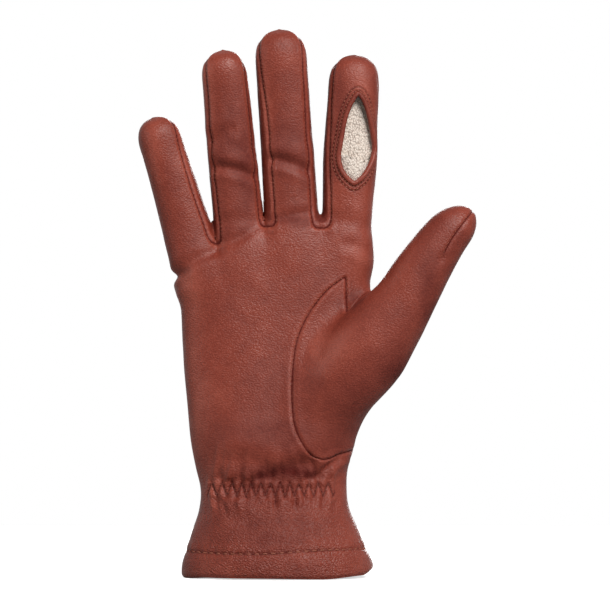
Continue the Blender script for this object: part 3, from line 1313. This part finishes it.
# Soft patches of lighter leather on the palm side, or darker where the amount is above 0: x, z, half width, half
# height, amount.
PATCHES = np.array([
    [-46, 178, 5, 14, 0.25], [-52, 175, 10, 26, -0.08], [-55, 186, 4, 12, -0.3], [-22, 187, 8, 22, 0.32],
    [-13, 176, 5, 22, 0.42], [-29, 206, 3, 20, -0.4], [-33, 222, 4, 8, -0.2], [4, 195, 9, 26, 0.06],
    [3, 186, 5, 12, 0.3], [14, 180, 6, 26, 0.24], [4, 157, 9, 3, 0.42], [-5, 204, 2.5, 28, -0.4],
    [6, 228, 8, 7, -0.2], [20, 157, 5, 4, 0.45], [37, 211, 5, 11, -0.6], [30, 222, 7, 7, -0.15],
    [34, 150, 12, 16, -0.08], [37, 137, 6, 10, -0.4],
    [-10, 66, 26, 14, 0.06], [0, 64, 25, 6, 0.26], [12, 52, 16, 8, 0.1], [-8, 46, 20, 4, 0.12], [7, 47, 11, 3, 0.55],
    [-10, 54, 14, 4, -0.15], [-36, 64, 5, 14, -0.6], [-38, 130, 5, 10, -0.4], [-37, 100, 4, 24, -0.25],
    [-28, 78, 10, 8, -0.15], [22, 101, 9, 10, -0.4], [2, 95, 10, 9, 0.13], [16, 80, 10, 12, 0.12],
    [34, 68, 10, 14, 0.2], [66, 126, 5, 16, 0.5], [52, 92, 8, 9, 0.42], [34, 122, 5, 5, 0.4], [32, 103, 7, 7, -0.15],
    [44, 112, 8, 12, -0.2], [26, 127, 4, 3, -0.3],
    [-27, 43, 5, 9, -0.45], [24, 43, 7, 9, -0.35], [13, 40, 4, 4, -0.2], [-5, 22, 30, 10, 0.06], [2, 20, 22, 7, 0.2],
    [7, 4, 10, 4, 0.25], [-33, 12, 6, 10, -0.2], [-28, 3, 12, 4, -0.3], [33, 20, 6, 8, -0.2], [72, 140, 9, 12, 0.05]])


def patches(p):
    total = np.zeros(len(p))
    for x, z, wide, high, amount in PATCHES:
        total += amount * np.exp(-((p[:, 0] - x) / wide) ** 2 - ((p[:, 2] - z) / high) ** 2)
    return total * ramp(-p[:, 1], -4, 6)


def seam_lines(p):
    """How close each point is to a seam's line, from 0 to 1."""
    total = np.zeros(len(p))
    for i in range(3):
        total = np.maximum(total, np.exp(-(web(p, i) / 0.28) ** 2))
    for i in range(4):
        total = np.maximum(total, 0.8 * np.exp(-(tip_seam(p, i) / 0.4) ** 2) * (finger_field(p, i) < 1.5))
    total = np.maximum(total, np.exp(-(thumb_panel(p) / 0.26) ** 2) * (p[:, 0] < 75))
    total *= 0.85 + 0.25 * np.cos(2 * np.pi * (p[:, 2] + 0.7 * p[:, 0]) / 1.9)
    s, _, v = thumb_frame(p)
    start = np.where(v < 0, ramp(s, THUMB_DART_START - 1, THUMB_DART_START + 4), ramp(s, 2, 12))
    total = np.maximum(total, np.exp(-(thumb_dart(p) / 0.28) ** 2) * start * (thumb_field(p) < 1.5))
    total = np.maximum(total, np.exp(-(side_seam(p) / 0.28) ** 2) * ramp(p[:, 1], -1, 2) * (p[:, 0] < -20))
    d, _ = zigzag_distance(p[:, 0], p[:, 2])
    total = np.maximum(total, 0.9 * np.exp(-(d / 0.32) ** 2) * on_zigzag(p))
    total = np.maximum(total, 0.55 * np.exp(-((p[:, 2] - hem_height(p)) / 0.5) ** 2))
    for k in range(3):
        d, there = back_point(p, k)
        total = np.maximum(total, 0.45 * np.exp(-((np.abs(d) - 1.4) / 0.4) ** 2) * there * (p[:, 1] > 0))
    lip = slit(p)
    for at in SLIT_ROWS:
        total = np.maximum(total, 0.85 * np.exp(-((lip + at) / 0.4) ** 2))
    return total


def seam_ridges(p):
    """Lighter, worn leather on the two rolled edges beside a seam."""
    total = np.zeros(len(p))
    for i in range(3):
        total += 0.4 * np.exp(-((np.abs(web(p, i)) - 0.85) / 0.45) ** 2)
    total += 0.25 * np.exp(-((np.abs(thumb_panel(p)) - 0.85) / 0.45) ** 2) * (p[:, 0] < 75)
    return total


def relief_near_slit(p):
    """The leather's height round the slit, without its fine grooves."""
    return 0.28 * noise(p, 26, 1) + 0.45


def finger_point(i, s, share, side):
    """A point on the front or back of finger i, at a height above its base and a share of its half width."""
    s = np.atleast_1d(np.asarray(s, float))
    x, z, length, lean = FINGERS[i, :4]
    c, k = math.cos(math.radians(lean)), math.sin(math.radians(lean))
    a, b = finger_size(s, i)
    u = share * a
    y = side * 0.8 * b - finger_bow(s, i)
    return np.stack([x + s * k + u * c, y, z + s * c - u * k], axis=1)


def thumb_point(s, u, v):
    """A point in the thumb's frame."""
    c, k = math.cos(math.radians(THUMB_LEAN)), math.sin(math.radians(THUMB_LEAN))
    u = u + hermite(THUMB, s, 1)
    y = v * hermite(THUMB, s, 4) + hermite(THUMB, s, 2)
    return np.stack([THUMB_AT[0] + s * k + u * c, y, THUMB_AT[1] + s * c - u * k], axis=1)


def build_stitches():
    # the slit: two rows round its binding
    rows = []
    for grow, pitch in zip(SLIT_ROWS, (2.0, 2.2)):
        line = slit_outline(grow, int(130 / pitch))
        rows.append((index_point(line[:, 0], line[:, 1]), 0.0))
    stitch_rows("stitches_slit", rows, 1.25, 0.24, ("slit_stitching",), 0.14, region="index")

    # the elastic's zigzag
    x0, x1, pitch, rise = ZIGZAG
    count = int((x1 - x0) / pitch * 2)
    a, b = [], []
    for k in range(count):
        low, high = ELASTIC_Z - rise, ELASTIC_Z + rise
        z = (low, high) if k % 2 == 0 else (high, low)
        for t0, t1 in ((0.04, 0.36), (0.38, 0.66), (0.68, 0.96)):
            a.append((x0 + (k + t0) * pitch / 2, z[0] + (z[1] - z[0]) * t0))
            b.append((x0 + (k + t1) * pitch / 2, z[0] + (z[1] - z[0]) * t1))
    ends = []
    for rows in (a, b):
        rows = np.array(rows)
        ends.append(skin(on_front(rows[:, 0], rows[:, 1])))
    o = capsules("stitches_elastic", ends[0][0], ends[1][0], ends[0][1], 0.18, 0.1, 0.25, "thread_dark")
    bend(o, "palm")
    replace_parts(o, "elastic_stitching")

    # the hem
    angle = np.radians(np.linspace(0, 360, 181))
    line = np.stack([43 * np.cos(angle), 29 * np.sin(angle), np.full(len(angle), HEM)], axis=1)
    line = along_line(line, lambda q: q[:, 2] - hem_height(q), 0.0, 3.6)
    stitch_rows("stitches_hem", [(line[:-1], 0.0)], 2.4, 0.32, ("hem_stitching",), 0.16, 0.35, region="palm")

    # the thumb's seam, from the wrist round the ball of the thumb and down to its crotch
    z = np.linspace(53, 131, 80)
    left = np.stack([hermite(THUMB_SEAM, z, 1), np.full(len(z), -18.0), z], axis=1)
    line = along_line(left, thumb_panel, -0.55, 1.9)
    rows = [(line, 0.0)]
    z = np.linspace(131, 119, 20)
    right = np.stack([np.full(len(z), THUMB_SEAM_RIGHT), np.full(len(z), -18.0), z], axis=1)
    rows.append((along_line(right, thumb_panel, -0.55, 1.9), 0.0))
    stitch_rows("stitches_thumb_seam", rows, 1.0, 0.15, ("thumb_seam_stitching",), 0.05, region="palm")

    # the dart at the thumb's tip
    s = np.linspace(THUMB_DART_START, THUMB_END - 3, 30)
    line = thumb_point(s, hermite(THUMB_DART, s, 1), -1.0)
    line = along_line(line, lambda q: thumb_dart(q), -0.5, 1.9)
    stitch_rows("stitches_thumb_tip", [(line, 0.0)], 1.0, 0.15, ("thumb_tip_stitching",), 0.05, region="thumb")

    # the closing seam at the back of the little finger's side
    z = np.linspace(6, 196, 200)
    seam_x = np.interp(z, [6, 39, 100, 140, 196], [-37, -30, -36, -41, -60])
    line = np.stack([seam_x, np.full(len(z), 14.0), z], axis=1)
    line = along_line(line, side_seam, 0.55, 2.1)
    stitch_rows("stitches_side_seam", [(line, 0.0)], 1.2, 0.15, ("side_seam_stitching",), 0.05)

    # three decorative rows on the back of the hand
    rows = []
    for bottom, top in BACK_POINTS:
        t = np.linspace(0, 1, 40)[:, None]
        line = np.array([top]) * (1 - t) + np.array([bottom]) * t
        line = project(np.stack([line[:, 0], np.full(len(t), 18.0), line[:, 1]], axis=1))
        rows.append((resample(line, 24), 0.0))
    stitch_rows("stitches_back", rows, 1.5, 0.26, ("back_points_stitching",), 0.0)

    # the seams of the fourchettes
    rows = []
    for i in range(3):
        for side in (-1, 1):
            t = np.linspace(0, 1, 60)
            first = finger_point(i, FINGERS[i, 2] * (0.9 - 0.9 * t), 0.8, side)
            bottom = (finger_point(i, 0.0, 0.9, side) + finger_point(i + 1, 0.0, -0.9, side)) / 2
            bottom[:, 2] = WEB_BOTTOMS[i] - 0.5
            last = finger_point(i + 1, FINGERS[i + 1, 2] * 0.9 * t, -0.8, side)
            above = WEB_BOTTOMS[i] + 3
            line = np.concatenate([first[first[:, 2] > above], bottom, last[last[:, 2] > above]])
            rows.append((along_line(line, lambda q, i=i: web(q, i), -0.55, 1.8), 0.0))
    stitch_rows("stitches_fourchettes", rows, 1.0, 0.12, (), 0.0, 0.3)


def build_scene():
    """Camera, lights and floor."""
    scene = bpy.context.scene
    camera = bpy.data.cameras.new("camera")
    camera.lens = 295.0
    camera.sensor_width = 36.0
    camera.clip_start = 0.05
    o = bpy.data.objects.new("camera", camera)
    scene.collection.objects.link(o)
    o.location = (0.0123, -2.2, 0.1197)
    o.rotation_euler = (math.pi / 2, 0, 0)
    scene.camera = o
    for name, at, aim, size, power, colour in (
            ("key", (0.4, -1.1, 1.0), (0, 0, 0.12), 0.5, 22, (1, 0.985, 0.97)),
            ("side", (1.2, -0.9, 0.5), (0, 0, 0.12), 0.5, 4, (1, 0.99, 0.98)),
            ("fill", (-1.2, -0.5, 0.5), (0, 0, 0.12), 0.5, 3, (1, 1, 1)),
            ("back", (0.1, 1.4, 0.4), (0, 0, 0.12), 0.7, 12, (1, 1, 1))):
        lamp = bpy.data.lights.new(name, "AREA")
        lamp.size = size
        lamp.energy = power
        lamp.color = colour
        l = bpy.data.objects.new(name, lamp)
        scene.collection.objects.link(l)
        l.location = at
        direction = Vector(aim) - Vector(at)
        l.rotation_euler = direction.to_track_quat("-Z", "Y").to_euler()
    # The room is white behind the glove and dim in front of it. Seen directly it is all white.
    world = bpy.data.worlds.new("studio")
    world.use_nodes = True
    tree = world.node_tree
    background = tree.nodes["Background"]
    background.inputs[0].default_value = (1, 1, 1, 1)
    coords = node(tree, "ShaderNodeTexCoord")
    split = node(tree, "ShaderNodeSeparateXYZ")
    tree.links.new(coords.outputs["Generated"], split.inputs[0])
    room = map_range(tree, split.outputs["Y"], -0.1, 0.6, 0.06, 0.5)
    seen = node(tree, "ShaderNodeLightPath").outputs["Is Camera Ray"]
    tree.links.new(math_node(tree, "MAXIMUM", room, seen), background.inputs[1])
    scene.world = world
    scene.view_settings.view_transform = "Standard"

    floor = bpy.data.meshes.new("floor")
    floor.from_pydata([(-0.6, -0.5, 0), (0.6, -0.5, 0), (0.6, 0.5, 0), (-0.6, 0.5, 0)], [], [(0, 1, 2, 3)])
    m, tree, shader, p = material("studio_floor")
    tone = noise_node(tree, p, 3, 2, 0.5)
    pale = colour_ramp(tree, tone, [(0.0, (0.93, 0.93, 0.93)), (1.0, (0.98, 0.98, 0.98))])
    # it glows a little where it is seen, and lights the glove from below less than white paper would
    seen = node(tree, "ShaderNodeLightPath").outputs["Is Camera Ray"]
    tree.links.new(mix_colour(tree, seen, (0.3, 0.3, 0.3), pale), shader.inputs["Base Color"])
    shader.inputs["Emission Color"].default_value = (1, 1, 1, 1)
    tree.links.new(math_node(tree, "MULTIPLY", seen, 0.6), shader.inputs["Emission Strength"])
    shader.inputs["Roughness"].default_value = 0.9
    floor.materials.append(m)
    f = bpy.data.objects.new("floor", floor)
    scene.collection.objects.link(f)


MATERIALS["leather"] = leather_material("nappa")
MATERIALS["knit"] = knit_material("cream_knit")
MATERIALS["thread"] = thread_material("sewing_thread", (0.2, 0.05, 0.028), (0.36, 0.11, 0.06))
MATERIALS["thread_dark"] = thread_material("sewing_thread_dark", (0.09, 0.016, 0.009), (0.2, 0.045, 0.025))
MATERIALS["elastic"] = elastic_material("elastic_tape")
build_leather()
build_lining()
build_binding()
build_stitches()
build_scene()
